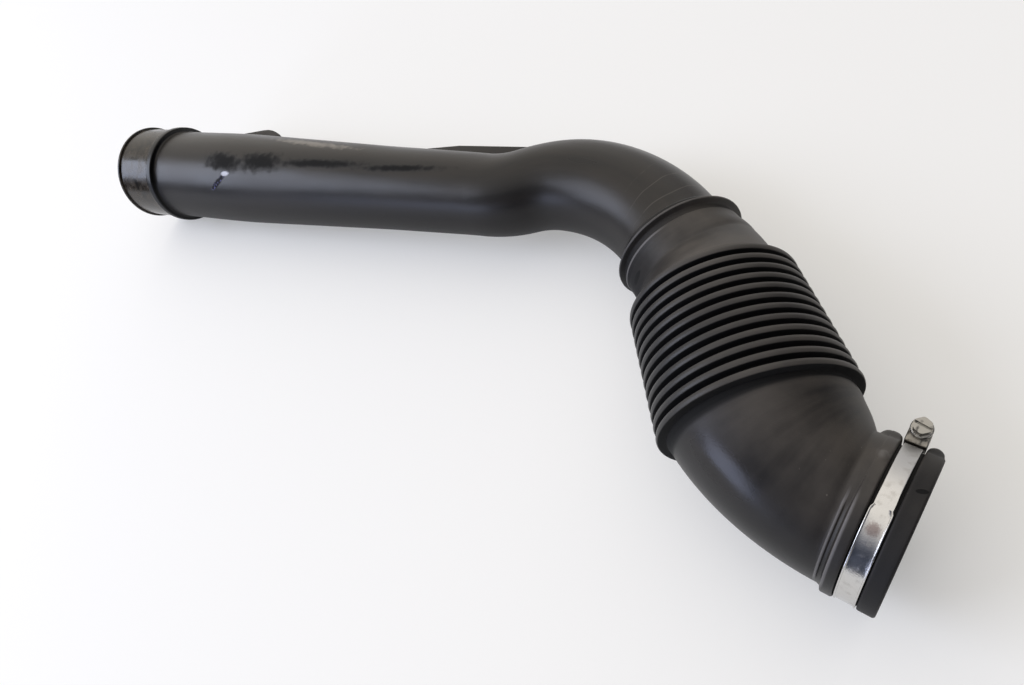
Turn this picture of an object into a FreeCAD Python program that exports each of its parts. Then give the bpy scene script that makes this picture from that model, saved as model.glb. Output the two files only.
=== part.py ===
import FreeCAD, Part
import os

import Sketcher

# Car air intake duct: a blow-moulded plastic pipe, a rubber bellows boot pushed over
# its end, and a worm-drive hose clamp on the boot's mouth.
# Millimetres and degrees. The pipe's straight run lies along X with its stop collar at x = 0,
# and the duct lies on its side with the collar, the cuff and the last rib on the ground.

# Driving sizes
SIZES = {
    # Where the middle of the footprint lies, measured from the stop collar.
    "footprint_x": 267.35,
    "footprint_y": -74.59,
    # Pipe: spigot, stop collar and straight run.
    "pipe_wall": 2.6,
    "spigot_length": 39.0,
    "spigot_radius": 36.2,
    "spigot_lip_radius": 37.6,
    "spigot_lip_width": 2.5,
    "collar_radius": 38.4,
    "collar_width": 6.0,
    "shoulder_radius": 34.8,
    "shoulder_length": 72.0,
    "taper_length": 140.0,
    "tube_radius": 29.4,
    "straight_length": 293.9,
    "waist_radius": 27.4,
    # Pipe: sideways jog, elbow that widens to its end, and the sleeve under the cuff.
    "jog_radius": 65.0,
    "jog_angle": 25.1,
    "elbow_radius": 105.0,
    "elbow_turn": 49.0,
    "elbow_end_radius": 31.7,
    "bead_radius": 34.8,
    "bead_width": 4.0,
    "sleeve_radius": 30.8,
    "sleeve_length": 22.0,
    # Pipe: web in the hollow of the jog, and the mounting lug.
    "seam_thickness": 4.0,
    "seam_sink": 1.0,
    "web_run": 50.0,
    "web_ramp": 12.0,
    "web_reach": 39.7,
    "web_angle": 13.6,
    "lug_place": 64.0,
    "lug_reach": 50.2,
    "lug_radius": 12.0,
    "lug_shelf": 16.0,
    "lug_run": 44.0,
    "lug_hole_radius": 3.2,
    # Boot: cuff over the pipe's end.
    "cuff_gap": 0.3,
    "cuff_clearance": 0.2,
    "cuff_wall": 4.5,
    "cuff_lip_radius": 38.4,
    "cuff_lip_width": 4.5,
    "cuff_groove_width": 3.0,
    "cuff_bead_radius": 37.2,
    "cuff_bead_width": 3.0,
    # Boot: neck and bellows.
    "neck_length": 23.0,
    "neck_shift": 2.8,
    "neck_rise": 10.2,
    "neck_turn": 10.8,
    "bellows_tilt": 1.0,
    "rib_pitch": 6.24,
    "rib_depth": 5.0,
    "rib_wall": 3.6,
    "first_rib_radius": 45.0,
    "rib_growth": 0.44,
    # Boot: elbow and mouth.
    "boot_wall": 3.6,
    "mouth_reach": 68.0,
    "mouth_shift": 41.4,
    "mouth_drop": 12.6,
    "mouth_turn": 45.9,
    "elbow_bulge": 1.2,
    "elbow_cut": 4.1,
    "mouth_bore_radius": 32.0,
    "mouth_wall": 4.0,
    "mouth_lip_radius": 37.5,
    "mouth_lip_width": 7.8,
    "clamp_groove_width": 10.2,
    "mouth_ridge_radius": 37.8,
    "mouth_ridge_width": 7.5,
    "mouth_neck_radius": 35.0,
    "mouth_neck_length": 3.0,
    "locator_height": 3.4,
    "locator_width": 7.2,
    "locator_angle": 26.0,
    # Clamp: band, tail, housing and screw.
    "clamp_angle": 9.0,
    "band_clearance": 0.15,
    "band_width": 9.2,
    "band_thickness": 0.8,
    "band_edge_width": 0.8,
    "band_edge_height": 0.6,
    "tail_clearance": 0.1,
    "tail_thickness": 0.7,
    "tail_angle": 88.0,
    "housing_clearance": 0.1,
    "housing_wall": 1.2,
    "saddle_height": 3.6,
    "housing_width": 9.4,
    "housing_length": 17.0,
    "worm_radius": 3.4,
    "worm_clearance": 0.05,
    "worm_end": 1.5,
    "head_gap": 0.3,
    "head_collar_radius": 4.7,
    "head_collar_width": 2.4,
    "head_flats": 7.0,
    "head_angle": -20.0,
    "head_height": 5.2,
    "slot_width": 1.2,
    "slot_depth": 1.8,
    "slot_angle": -9.0,
}
RIB_COUNT = 12

doc = FreeCAD.newDocument("air_intake")
sheet = doc.addObject("Spreadsheet::Sheet", "sizes")
for row, (alias, value) in enumerate(SIZES.items(), start=1):
    sheet.set(f"A{row}", alias)
    sheet.set(f"B{row}", str(value))
    sheet.setAlias(f"B{row}", alias)
doc.recompute()


def size(alias):
    """One size of the sheet, as an expression."""
    return f"sizes.{alias}"


def degrees(alias):
    """One angle of the sheet, as an expression with its unit."""
    return f"(sizes.{alias} * 1 deg)"


def place(x="0", y="0", z="0", axis="0;0;1", angle="0"):
    """A frame moved by x, y and z and then turned about an axis, as an expression."""
    return f"placement(vector({x}; {y}; {z}); rotation(vector({axis}); {angle}))"


def carried(radius, turn, side=""):
    """A frame carried along an arc by a turn in degrees, towards +Y, or towards -Y with a minus side."""
    x = f"{radius} * sin({turn} * 1 deg)"
    y = f"{side}{radius} * (1 - cos({turn} * 1 deg))"
    return place(x, y, angle=f"{side}{turn}")


def number(expression):
    """The present value of an expression."""
    return float(sheet.evalExpression(expression))


# Frames along the duct
FOOT = place(f"-{size('footprint_x')}", f"-{size('footprint_y')}", size("collar_radius"))
JOG_END_X = f"{size('straight_length')} + 2 * {size('jog_radius')} * sin({degrees('jog_angle')})"
JOG_END_Y = f"2 * {size('jog_radius')} * (1 - cos({degrees('jog_angle')}))"
ELBOW_END_X = f"{JOG_END_X} + {size('elbow_radius')} * sin({degrees('elbow_turn')})"
ELBOW_END_Y = f"{JOG_END_Y} - {size('elbow_radius')} * (1 - cos({degrees('elbow_turn')}))"
PIPE_END = place(ELBOW_END_X, ELBOW_END_Y, angle=f"-{size('elbow_turn')}")
CUFF_START = f"({size('bead_width')} + {size('cuff_gap')})"
CUFF_END = f"({size('bead_width')} + {size('sleeve_length')} + {size('cuff_gap')})"
NECK_END = " * ".join([
    place(f"{CUFF_END} + {size('neck_length')}", f"-{size('neck_shift')}", size("neck_rise"),
          angle=f"-{size('neck_turn')}"),
    place(axis="0;1;0", angle=f"-{size('bellows_tilt')}"),
])
BELLOWS_LENGTH = f"({RIB_COUNT} * {size('rib_pitch')})"
BELLOWS_END = f"{NECK_END} * {place(BELLOWS_LENGTH)}"
MOUTH = " * ".join([
    BELLOWS_END,
    place(f"{size('mouth_reach')} - {size('rib_pitch')} / 2", size("mouth_shift"), f"-{size('mouth_drop')}",
          angle=size("mouth_turn")),
])
GROOVE_START = f"({size('mouth_lip_width')} + {size('clamp_groove_width')})"
RIDGE_START = f"({GROOVE_START} + {size('mouth_ridge_width')})"
MOUTH_START = f"({RIDGE_START} + {size('mouth_neck_length')})"
BAND_MIDDLE = f"({size('mouth_lip_width')} + {size('clamp_groove_width')} / 2)"
CLAMP = f"{MOUTH} * {place('-' + BAND_MIDDLE, axis='1;0;0', angle=size('clamp_angle'))}"
# Turns a sketch from the XY plane to the plane across the X axis.
ACROSS = place(axis="1;1;1", angle="120")


def new_body(label, frame):
    body = doc.addObject("PartDesign::Body", label)
    body.Label = label
    body.setExpression("Placement", frame)
    return body


def new_sketch(body, name, frame):
    """A sketch on the body's XY plane, carried to a frame of the duct."""
    sketch = body.newObject("Sketcher::SketchObject", name)
    plane = next(part for part in body.Origin.OriginFeatures if part.Role == "XY_Plane")
    sketch.AttachmentSupport = [(plane, "")]
    sketch.MapMode = "FlatFace"
    sketch.setExpression("AttachmentOffset", frame)
    return sketch


def bind(sketch, kind, references, expression):
    """A driving dimension of a sketch that follows the sheet."""
    index = sketch.addConstraint(Sketcher.Constraint(kind, *references, number(expression)))
    sketch.setExpression(f"Constraints[{index}]", expression)


def pin(sketch, curve, point, x, y):
    bind(sketch, "DistanceX", (-1, 1, curve, point), x)
    bind(sketch, "DistanceY", (-1, 1, curve, point), y)


def outline(sketch, corners):
    """A closed run of straight edges whose corners follow the sheet."""
    points = [FreeCAD.Vector(number(x), number(y), 0) for x, y in corners]
    lines = [Part.LineSegment(a, b) for a, b in zip(points, points[1:] + points[:1])]
    sketch.addGeometry(lines, False)
    count = len(corners)
    for i, (x, y) in enumerate(corners):
        sketch.addConstraint(Sketcher.Constraint("Coincident", i, 2, (i + 1) % count, 1))
        pin(sketch, i, 1, x, y)


def circle(sketch, radius, x="0", y="0"):
    centre = FreeCAD.Vector(number(x), number(y), 0)
    curve = sketch.addGeometry(Part.Circle(centre, FreeCAD.Vector(0, 0, 1), number(radius)), False)
    pin(sketch, curve, 3, x, y)
    bind(sketch, "Radius", (curve,), radius)


def feature(body, kind, name, profile):
    made = body.newObject(f"PartDesign::{kind}", name)
    made.Profile = profile
    return made


def turned(body, name, frame, corners, angle="360"):
    """A profile turned about the X axis of its frame."""
    sketch = new_sketch(body, f"{name}_profile", frame)
    outline(sketch, corners)
    made = feature(body, "Revolution", name, sketch)
    made.ReferenceAxis = (sketch, ["H_Axis"])
    made.setExpression("Angle", angle)
    return made


def section(body, name, frame, radius):
    """A round section across the X axis of a frame."""
    sketch = new_sketch(body, name, f"{frame} * {ACROSS}")
    circle(sketch, radius)
    return sketch


def duct(body, name, stations, wall):
    """A hollow duct through round sections: a loft, and its bore a wall thinner."""
    shells = (("AdditiveLoft", name, "0"), ("SubtractiveLoft", f"{name}_bore", wall))
    for kind, label, inset in shells:
        sketches = [
            section(body, f"{label}_section_{i}", frame, f"{radius} - {inset}")
            for i, (frame, radius) in enumerate(stations)
        ]
        loft = feature(body, kind, label, sketches[0])
        loft.Sections = sketches[1:]
        doc.recompute()


def padded(body, name, sketch, length, midplane=False, reverse=False):
    pad = feature(body, "Pad", name, sketch)
    pad.setExpression("Length", length)
    pad.Midplane = midplane
    pad.Reversed = reverse
    return pad


def bored(body, name, sketch):
    """A hole cut right through the body, both ways from its sketch."""
    hole = feature(body, "Pocket", name, sketch)
    hole.Type = "ThroughAll"
    hole.Midplane = True
    return hole


# Intake pipe
HOME = place()
pipe = new_body("intake_pipe", FOOT)
half_collar = f"{size('collar_width')} / 2"
lip_end = f"-{size('spigot_length')} + {size('spigot_lip_width')}"
shoulder_end = f"{half_collar} + {size('shoulder_length')}"
taper_end = f"{shoulder_end} + {size('taper_length')}"
spigot_bore = f"{size('spigot_radius')} - {size('pipe_wall')}"
shoulder_bore = f"{size('shoulder_radius')} - {size('pipe_wall')}"
tube_bore = f"{size('tube_radius')} - {size('pipe_wall')}"
waist_bore = f"{size('waist_radius')} - {size('pipe_wall')}"
sleeve_bore = f"{size('sleeve_radius')} - {size('pipe_wall')}"
turned(pipe, "straight_run", HOME, [
    (f"-{size('spigot_length')}", spigot_bore),
    (f"-{size('spigot_length')}", size("spigot_lip_radius")),
    (lip_end, size("spigot_lip_radius")),
    (lip_end, size("spigot_radius")),
    (f"-{half_collar}", size("spigot_radius")),
    (f"-{half_collar}", size("collar_radius")),
    (half_collar, size("collar_radius")),
    (half_collar, size("shoulder_radius")),
    (shoulder_end, size("shoulder_radius")),
    (taper_end, size("tube_radius")),
    (size("straight_length"), size("waist_radius")),
    (size("straight_length"), waist_bore),
    (taper_end, tube_bore),
    (shoulder_end, shoulder_bore),
    (half_collar, shoulder_bore),
    (f"-{half_collar}", spigot_bore),
])

# The jog to one side and back, and the elbow: three arcs, each tangent to the next, through
# round sections that widen steadily from the waist to the elbow's end.
JOG_STEPS = 2
BEND_STEPS = 4
bend_start = place(size("straight_length"))
bend_frames = [bend_start]
for radius, sweep, side, steps in (
    ("jog_radius", "jog_angle", "", JOG_STEPS),
    ("jog_radius", "jog_angle", "-", JOG_STEPS),
    ("elbow_radius", "elbow_turn", "-", BEND_STEPS),
):
    for step in range(1, steps + 1):
        swept = f"({size(sweep)} * {step / steps})"
        bend_frames.append(f"{bend_start} * {carried(size(radius), swept, side)}")
    bend_start = bend_frames[-1]
bend_sections = []
for step, frame in enumerate(bend_frames):
    along = step / (len(bend_frames) - 1)
    radius = f"({size('waist_radius')} * {1 - along} + {size('elbow_end_radius')} * {along})"
    bend_sections.append((frame, radius))
duct(pipe, "bends", bend_sections, size("pipe_wall"))

sleeve_end = f"{size('bead_width')} + {size('sleeve_length')}"
turned(pipe, "cuff_sleeve", PIPE_END, [
    ("0", sleeve_bore),
    ("0", size("bead_radius")),
    (size("bead_width"), size("bead_radius")),
    (size("bead_width"), size("sleeve_radius")),
    (sleeve_end, size("sleeve_radius")),
    (sleeve_end, sleeve_bore),
])

# Web along the mould seam that fills the hollow side of the jog.
jog_sine = f"sin({degrees('jog_angle')})"
jog_cosine = f"cos({degrees('jog_angle')})"
inner_reach = f"({size('jog_radius')} - {size('waist_radius')} + {size('seam_sink')})"
outer_reach = f"({size('jog_radius')} + {size('tube_radius')} - {size('seam_sink')})"
seam_edge = f"{size('waist_radius')} - {size('seam_sink')}"
web_outline = new_sketch(pipe, "web_outline", HOME)
outline(web_outline, [
    (f"{size('straight_length')} - {size('web_run')}", seam_edge),
    (size("straight_length"), seam_edge),
    (f"{size('straight_length')} + {inner_reach} * {jog_sine}",
     f"{size('jog_radius')} - {inner_reach} * {jog_cosine}"),
    (f"{JOG_END_X} - {outer_reach} * sin({degrees('web_angle')})",
     f"{JOG_END_Y} - {size('jog_radius')} + {outer_reach} * cos({degrees('web_angle')})"),
    (f"{size('straight_length')} - {size('web_run')} + {size('web_ramp')}", size("web_reach")),
])
padded(pipe, "web", web_outline, size("seam_thickness"), midplane=True)

# Mounting lug on the seam: a round ear with a flat shelf that slopes down to the pipe.
lug_outline = new_sketch(pipe, "lug_outline", HOME)
lug_edge = f"{size('shoulder_radius')} - {size('seam_sink')}"
lug_centre_y = f"{size('lug_reach')} - {size('lug_radius')}"
outline(lug_outline, [
    (f"{size('lug_place')} - {size('lug_run')}", lug_edge),
    (f"{size('lug_place')} + {size('lug_radius')}", lug_edge),
    (f"{size('lug_place')} + {size('lug_radius')}", lug_centre_y),
    (size("lug_place"), lug_centre_y),
    (size("lug_place"), size("lug_reach")),
    (f"{size('lug_place')} - {size('lug_shelf')}", size("lug_reach")),
])
padded(pipe, "lug_base", lug_outline, size("seam_thickness"), midplane=True)
ear_outline = new_sketch(pipe, "ear_outline", HOME)
circle(ear_outline, size("lug_radius"), size("lug_place"), lug_centre_y)
padded(pipe, "lug_ear", ear_outline, size("seam_thickness"), midplane=True)
hole_outline = new_sketch(pipe, "lug_hole_outline", HOME)
circle(hole_outline, size("lug_hole_radius"), size("lug_place"), lug_centre_y)
bored(pipe, "lug_hole", hole_outline)
doc.recompute()

# Bellows boot
boot = new_body("bellows_boot", f"{FOOT} * {PIPE_END}")
cuff_bore = f"{size('sleeve_radius')} + {size('cuff_clearance')}"
cuff_radius = f"{cuff_bore} + {size('cuff_wall')}"
cuff_lip_end = f"{CUFF_START} + {size('cuff_lip_width')}"
cuff_groove_end = f"{cuff_lip_end} + {size('cuff_groove_width')}"
cuff_bead_end = f"{cuff_groove_end} + {size('cuff_bead_width')}"
turned(boot, "cuff", HOME, [
    (CUFF_START, cuff_bore),
    (CUFF_START, size("cuff_lip_radius")),
    (cuff_lip_end, size("cuff_lip_radius")),
    (cuff_lip_end, cuff_radius),
    (cuff_groove_end, cuff_radius),
    (cuff_groove_end, size("cuff_bead_radius")),
    (cuff_bead_end, size("cuff_bead_radius")),
    (cuff_bead_end, cuff_radius),
    (CUFF_END, cuff_radius),
    (CUFF_END, cuff_bore),
])

root_radius = f"({size('first_rib_radius')} - {size('rib_depth')})"
last_root_radius = f"({root_radius} + {RIB_COUNT - 1} * {size('rib_growth')})"
duct(boot, "neck", [(place(CUFF_END), cuff_radius), (NECK_END, root_radius)], size("cuff_wall"))

# Convolutions: each rib is a little wider than the one before it.
outer_corners = [("0", root_radius)]
for rib in range(RIB_COUNT):
    crest = f"{size('first_rib_radius')} + {rib} * {size('rib_growth')}"
    outer_corners.append((f"{rib + 0.5} * {size('rib_pitch')}", crest))
    if rib < RIB_COUNT - 1:
        outer_corners.append((f"{rib + 1} * {size('rib_pitch')}",
                              f"{root_radius} + {rib + 0.5} * {size('rib_growth')}"))
outer_corners.append((BELLOWS_LENGTH, last_root_radius))
inner_corners = [(x, f"{radius} - {size('rib_wall')}") for x, radius in reversed(outer_corners)]
turned(boot, "bellows", NECK_END, outer_corners + inner_corners)

# Elbow from the bellows to the mouth: round sections along a curve that leaves the bellows
# along its axis and reaches the mouth along the mouth's axis. Half way it is a little wider
# and lies nearer the inside of the bend.
ELBOW_STEPS = 4
mouth_end_x = f"{size('mouth_reach')} - {size('rib_pitch')} / 2"
mouth_start_x = f"({mouth_end_x} - {MOUTH_START} * cos({degrees('mouth_turn')}))"
mouth_start_y = f"({size('mouth_shift')} - {MOUTH_START} * sin({degrees('mouth_turn')}))"
corner_x = f"({mouth_start_x} - {mouth_start_y} / tan({degrees('mouth_turn')}))"
elbow_sections = []
for step in range(ELBOW_STEPS + 1):
    along = step / ELBOW_STEPS
    bend = 2 * along * (1 - along)
    cut = f"{2 * bend} * {size('elbow_cut')}"
    frame = place(
        f"{corner_x} * {bend} + {mouth_start_x} * {along ** 2} - {cut} * sin({degrees('mouth_turn')} / 2)",
        f"{mouth_start_y} * {along ** 2} + {cut} * cos({degrees('mouth_turn')} / 2)",
        f"-{size('mouth_drop')} * {along}",
        angle=f"{size('mouth_turn')} * {along}",
    )
    taper = f"{last_root_radius} * {1 - along} + {size('mouth_neck_radius')} * {along}"
    radius = f"({taper} + {2 * bend} * {size('elbow_bulge')})"
    elbow_sections.append((f"{BELLOWS_END} * {frame}", radius))
duct(boot, "elbow", elbow_sections, size("boot_wall"))

groove_radius = f"({size('mouth_bore_radius')} + {size('mouth_wall')})"
turned(boot, "mouth", MOUTH, [
    (f"-{MOUTH_START}", size("mouth_bore_radius")),
    (f"-{MOUTH_START}", size("mouth_neck_radius")),
    (f"-{RIDGE_START}", size("mouth_neck_radius")),
    (f"-{RIDGE_START}", size("mouth_ridge_radius")),
    (f"-{GROOVE_START}", size("mouth_ridge_radius")),
    (f"-{GROOVE_START}", groove_radius),
    (f"-{size('mouth_lip_width')}", groove_radius),
    (f"-{size('mouth_lip_width')}", size("mouth_lip_radius")),
    ("0", size("mouth_lip_radius")),
    ("0", size("mouth_bore_radius")),
])

# Locators on both sides of the groove, which keep the clamp's housing in place.
locator_start = place(axis="1;0;0", angle=f"{size('clamp_angle')} - {size('locator_angle')} / 2")
half_groove = f"{size('clamp_groove_width')} / 2"
for label, radius, side in (("ridge", "mouth_ridge_radius", "-"), ("lip", "mouth_lip_radius", "")):
    near = f"{side}({half_groove})"
    far = f"{side}({half_groove} + {size('locator_width')})"
    locator_top = f"{size(radius)} + {size('locator_height')}"
    turned(boot, f"{label}_locator", f"{MOUTH} * {place('-' + BAND_MIDDLE)} * {locator_start}", [
        (near, groove_radius),
        (near, locator_top),
        (far, locator_top),
        (far, groove_radius),
    ], angle=size("locator_angle"))
doc.recompute()

# Clamp band: a strip with raised edges, and its tail lying in between them.
band = new_body("clamp_band", f"{FOOT} * {PIPE_END} * {CLAMP}")
band_inside = f"({groove_radius} + {size('band_clearance')})"
band_face = f"({band_inside} + {size('band_thickness')})"
band_edge = f"({band_face} + {size('band_edge_height')})"
half_band = f"{size('band_width')} / 2"
edge_inside = f"({half_band} - {size('band_edge_width')})"
turned(band, "strip", HOME, [
    (f"-{half_band}", band_inside),
    (f"-{half_band}", band_edge),
    (f"-{edge_inside}", band_edge),
    (f"-{edge_inside}", band_face),
    (edge_inside, band_face),
    (edge_inside, band_edge),
    (half_band, band_edge),
    (half_band, band_inside),
])
half_tail = f"({edge_inside} - {size('tail_clearance')})"
tail_face = f"({band_face} + {size('tail_thickness')})"
turned(band, "tail", HOME, [
    (f"-{half_tail}", band_face),
    (f"-{half_tail}", tail_face),
    (half_tail, tail_face),
    (half_tail, band_face),
], angle=size("tail_angle"))
doc.recompute()

# Clamp housing: an arch over the worm, with its base on the tail.
housing = new_body("clamp_housing", f"{FOOT} * {PIPE_END} * {CLAMP}")
tunnel_radius = f"({size('worm_radius')} + {size('worm_clearance')})"
arch_radius = f"({tunnel_radius} + {size('housing_wall')})"
base_face = f"({tail_face} + {size('housing_clearance')})"
worm_axis = f"({base_face} + {size('saddle_height')} + {tunnel_radius})"
half_housing = f"{size('housing_width')} / 2"
base_outline = new_sketch(housing, "base_outline", HOME)
outline(base_outline, [
    (f"-{half_housing}", base_face),
    (half_housing, base_face),
    (half_housing, f"{base_face} + {size('housing_wall')}"),
    (arch_radius, worm_axis),
    (f"-{arch_radius}", worm_axis),
    (f"-{half_housing}", f"{base_face} + {size('housing_wall')}"),
])
padded(housing, "base", base_outline, size("housing_length"), midplane=True)
arch_outline = new_sketch(housing, "arch_outline", HOME)
circle(arch_outline, arch_radius, y=worm_axis)
padded(housing, "arch", arch_outline, size("housing_length"), midplane=True)
tunnel_outline = new_sketch(housing, "tunnel_outline", HOME)
circle(tunnel_outline, tunnel_radius, y=worm_axis)
bored(housing, "tunnel", tunnel_outline)
doc.recompute()

# Clamp screw: worm, collar and slotted hexagon head.
screw = new_body("clamp_screw", f"{FOOT} * {PIPE_END} * {CLAMP} * {place(y=worm_axis)}")
half_tunnel = f"{size('housing_length')} / 2"
collar_face = f"({half_tunnel} + {size('head_gap')})"
head_face = f"({collar_face} + {size('head_collar_width')})"
worm_outline = new_sketch(screw, "worm_outline", place(z=f"-{half_tunnel} - {size('worm_end')}"))
circle(worm_outline, size("worm_radius"))
padded(screw, "worm", worm_outline, f"{half_tunnel} + {size('worm_end')} + {collar_face}")
collar_outline = new_sketch(screw, "collar_outline", place(z=collar_face))
circle(collar_outline, size("head_collar_radius"))
padded(screw, "head_collar", collar_outline, size("head_collar_width"))
corner_radius = f"{size('head_flats')} / (2 * cos(30 deg))"
hexagon = new_sketch(screw, "hexagon", place(z=head_face, angle=size("head_angle")))
outline(hexagon, [
    (f"{corner_radius} * cos({60 * i} deg)", f"{corner_radius} * sin({60 * i} deg)") for i in range(6)
])
padded(screw, "head", hexagon, size("head_height"))
head_end = f"{head_face} + {size('head_height')}"
slot_outline = new_sketch(screw, "slot_outline", place(z=head_end, angle=size("slot_angle")))
half_slot = f"{size('slot_width')} / 2"
outline(slot_outline, [
    (f"-{size('head_flats')}", f"-{half_slot}"),
    (size("head_flats"), f"-{half_slot}"),
    (size("head_flats"), half_slot),
    (f"-{size('head_flats')}", half_slot),
])
slot = feature(screw, "Pocket", "slot", slot_outline)
slot.setExpression("Length", size("slot_depth"))
doc.recompute()

# Tests of the finished solids, and one file for each piece
failed = [item.Name for item in doc.Objects if "Invalid" in item.State or "Error" in item.State]
if failed:
    raise RuntimeError(f"objects that did not build: {failed}")
bodies = (pipe, boot, band, housing, screw)
for body in bodies:
    if body.Shape.isNull() or not body.Shape.isValid() or len(body.Shape.Solids) != 1:
        raise RuntimeError(f"{body.Label} is not one valid solid")
os.makedirs("parts", exist_ok=True)
for body in bodies:
    body.Shape.exportStep(f"parts/{body.Label}.step")
    box = body.Shape.BoundBox
    print(f"{body.Label}: {body.Shape.Volume / 1000:.1f} cm3, "
          f"x {box.XMin:.2f}..{box.XMax:.2f}, y {box.YMin:.2f}..{box.YMax:.2f}, z {box.ZMin:.2f}..{box.ZMax:.2f}")
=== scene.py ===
import math

import bpy
import numpy as np
from mathutils import Matrix


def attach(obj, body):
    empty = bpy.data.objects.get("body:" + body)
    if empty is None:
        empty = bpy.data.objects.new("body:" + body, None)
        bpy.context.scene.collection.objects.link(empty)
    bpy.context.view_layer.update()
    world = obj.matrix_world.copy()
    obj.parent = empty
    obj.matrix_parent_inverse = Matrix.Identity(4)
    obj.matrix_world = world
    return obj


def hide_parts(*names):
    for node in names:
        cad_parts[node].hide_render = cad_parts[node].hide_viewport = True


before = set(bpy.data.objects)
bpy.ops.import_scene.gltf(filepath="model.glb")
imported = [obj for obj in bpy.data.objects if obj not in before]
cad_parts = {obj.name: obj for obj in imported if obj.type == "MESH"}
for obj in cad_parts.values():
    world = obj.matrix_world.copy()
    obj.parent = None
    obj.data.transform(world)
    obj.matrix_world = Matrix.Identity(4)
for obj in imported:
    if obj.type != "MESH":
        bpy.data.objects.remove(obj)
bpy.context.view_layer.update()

# Car air intake duct: a blow-moulded plastic pipe, a rubber bellows boot and a hose clamp.
# Shapes are worked out in millimetres, in the frame of the solids, and made in metres.
MM = 0.001


def shift(x=0.0, y=0.0, z=0.0):
    """A move along the axes of a frame, in millimetres."""
    moved = np.eye(4)
    moved[:3, 3] = (x, y, z)
    return moved


def turn(axis, angle):
    """A turn about one axis of a frame, in degrees."""
    return np.array(Matrix.Rotation(math.radians(angle), 4, axis))


def bend(radius, angle):
    """A frame carried along an arc in its XY plane; a positive angle bends towards +Y."""
    a = math.radians(angle)
    return shift(radius * math.sin(abs(a)), math.copysign(radius * (1 - math.cos(a)), a)) @ turn("Z", angle)


def eased(share):
    """A share held between 0 and 1, with a soft start and a soft end."""
    share = np.clip(share, 0, 1)
    return share * share * (3 - 2 * share)


# Sizes of the pipe
COLLAR_RADIUS = 38.4
STRAIGHT_LENGTH = 293.9
JOG_RADIUS = 65.0
JOG_ANGLE = 25.1
ELBOW_RADIUS = 105.0
ELBOW_TURN = 49.0
SPIGOT_RADIUS = 36.2
SHOULDER_RADIUS = 34.8
TUBE_RADIUS = 29.4
WAIST_RADIUS = 27.4
ELBOW_END_RADIUS = 31.7
SLEEVE_RADIUS = 30.8
BEAD_RADIUS = 34.8
BEAD_WIDTH = 4.0
SLEEVE_LENGTH = 22.0
PIPE_WALL = 2.6
SPIGOT_END = -39.0
SPIGOT_MOUTH_RADIUS = 34.4
END_LIP = -36.5
END_LIP_RADIUS = 37.6
HALF_COLLAR = 3.0
SHOULDER_END = 75.0
TAPER_END = 215.0
JOG_END_RADIUS = 29.55
FOOT = shift(-267.35, 74.59, COLLAR_RADIUS)
JOG_LENGTH = JOG_RADIUS * math.radians(JOG_ANGLE)
ELBOW_LENGTH = ELBOW_RADIUS * math.radians(ELBOW_TURN)
JOG_END = STRAIGHT_LENGTH + 2 * JOG_LENGTH
PIPE_LENGTH = JOG_END + ELBOW_LENGTH


def pipe_frame(along):
    """The frame on the pipe's centre line, at a length along it from the stop collar."""
    made = FOOT @ shift(min(along, STRAIGHT_LENGTH))
    arcs = (
        (STRAIGHT_LENGTH, JOG_LENGTH, JOG_RADIUS, JOG_ANGLE),
        (STRAIGHT_LENGTH + JOG_LENGTH, JOG_LENGTH, JOG_RADIUS, -JOG_ANGLE),
        (JOG_END, ELBOW_LENGTH, ELBOW_RADIUS, -ELBOW_TURN),
    )
    for start, length, radius, angle in arcs:
        share = min(max((along - start) / length, 0.0), 1.0)
        made = made @ bend(radius, angle * share)
    return made @ shift(max(along - PIPE_LENGTH, 0.0))


# Sizes of the boot
CUFF_START = BEAD_WIDTH + 0.3
CUFF_END = BEAD_WIDTH + SLEEVE_LENGTH + 0.3
CUFF_BORE = SLEEVE_RADIUS + 0.2
CUFF_RADIUS = CUFF_BORE + 4.5
CUFF_LIP_RADIUS = 38.4
NECK_LENGTH = 23.0
NECK_SIDEWAYS = -2.8
NECK_RISE = 10.2
BELLOWS_TURN = -10.8
BELLOWS_TILT = -1.0
RIB_COUNT = 12
RIB_PITCH = 6.24
RIB_DEPTH = 5.0
RIB_GROWTH = 0.44
RIB_WALL = 3.6
ROOT_RADIUS = 45.0 - RIB_DEPTH
LAST_ROOT_RADIUS = ROOT_RADIUS + (RIB_COUNT - 1) * RIB_GROWTH
BOOT_WALL = 3.6
MOUTH_TURN = 45.9
MOUTH_REACH = 68.0 - RIB_PITCH / 2
MOUTH_SHIFT = 41.4
MOUTH_DROP = 12.6
MOUTH_BORE = 32.0
GROOVE_RADIUS = MOUTH_BORE + 4.0
LIP_RADIUS = 37.5
LIP_WIDTH = 7.8
GROOVE_WIDTH = 10.2
RIDGE_RADIUS = 37.8
RIDGE_WIDTH = 7.5
MOUTH_NECK_RADIUS = 35.0
MOUTH_NECK_LENGTH = 3.0
GROOVE_START = LIP_WIDTH + GROOVE_WIDTH
RIDGE_START = GROOVE_START + RIDGE_WIDTH
MOUTH_START = RIDGE_START + MOUTH_NECK_LENGTH
ELBOW_BULGE = 1.2
ELBOW_CUT = 4.1
LOCATOR_HEIGHT = 3.4
LOCATOR_HALF = 13.0
CLAMP_ANGLE = 9.0
PIPE_END = pipe_frame(PIPE_LENGTH)
NECK_END = PIPE_END @ shift(CUFF_END + NECK_LENGTH, NECK_SIDEWAYS, NECK_RISE)
NECK_END = NECK_END @ turn("Z", BELLOWS_TURN) @ turn("Y", BELLOWS_TILT)
BELLOWS_END = NECK_END @ shift(RIB_COUNT * RIB_PITCH)
MOUTH = BELLOWS_END @ shift(MOUTH_REACH, MOUTH_SHIFT, -MOUTH_DROP) @ turn("Z", MOUTH_TURN)
CLAMP = MOUTH @ shift(-(LIP_WIDTH + GROOVE_WIDTH / 2)) @ turn("X", CLAMP_ANGLE)

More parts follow.
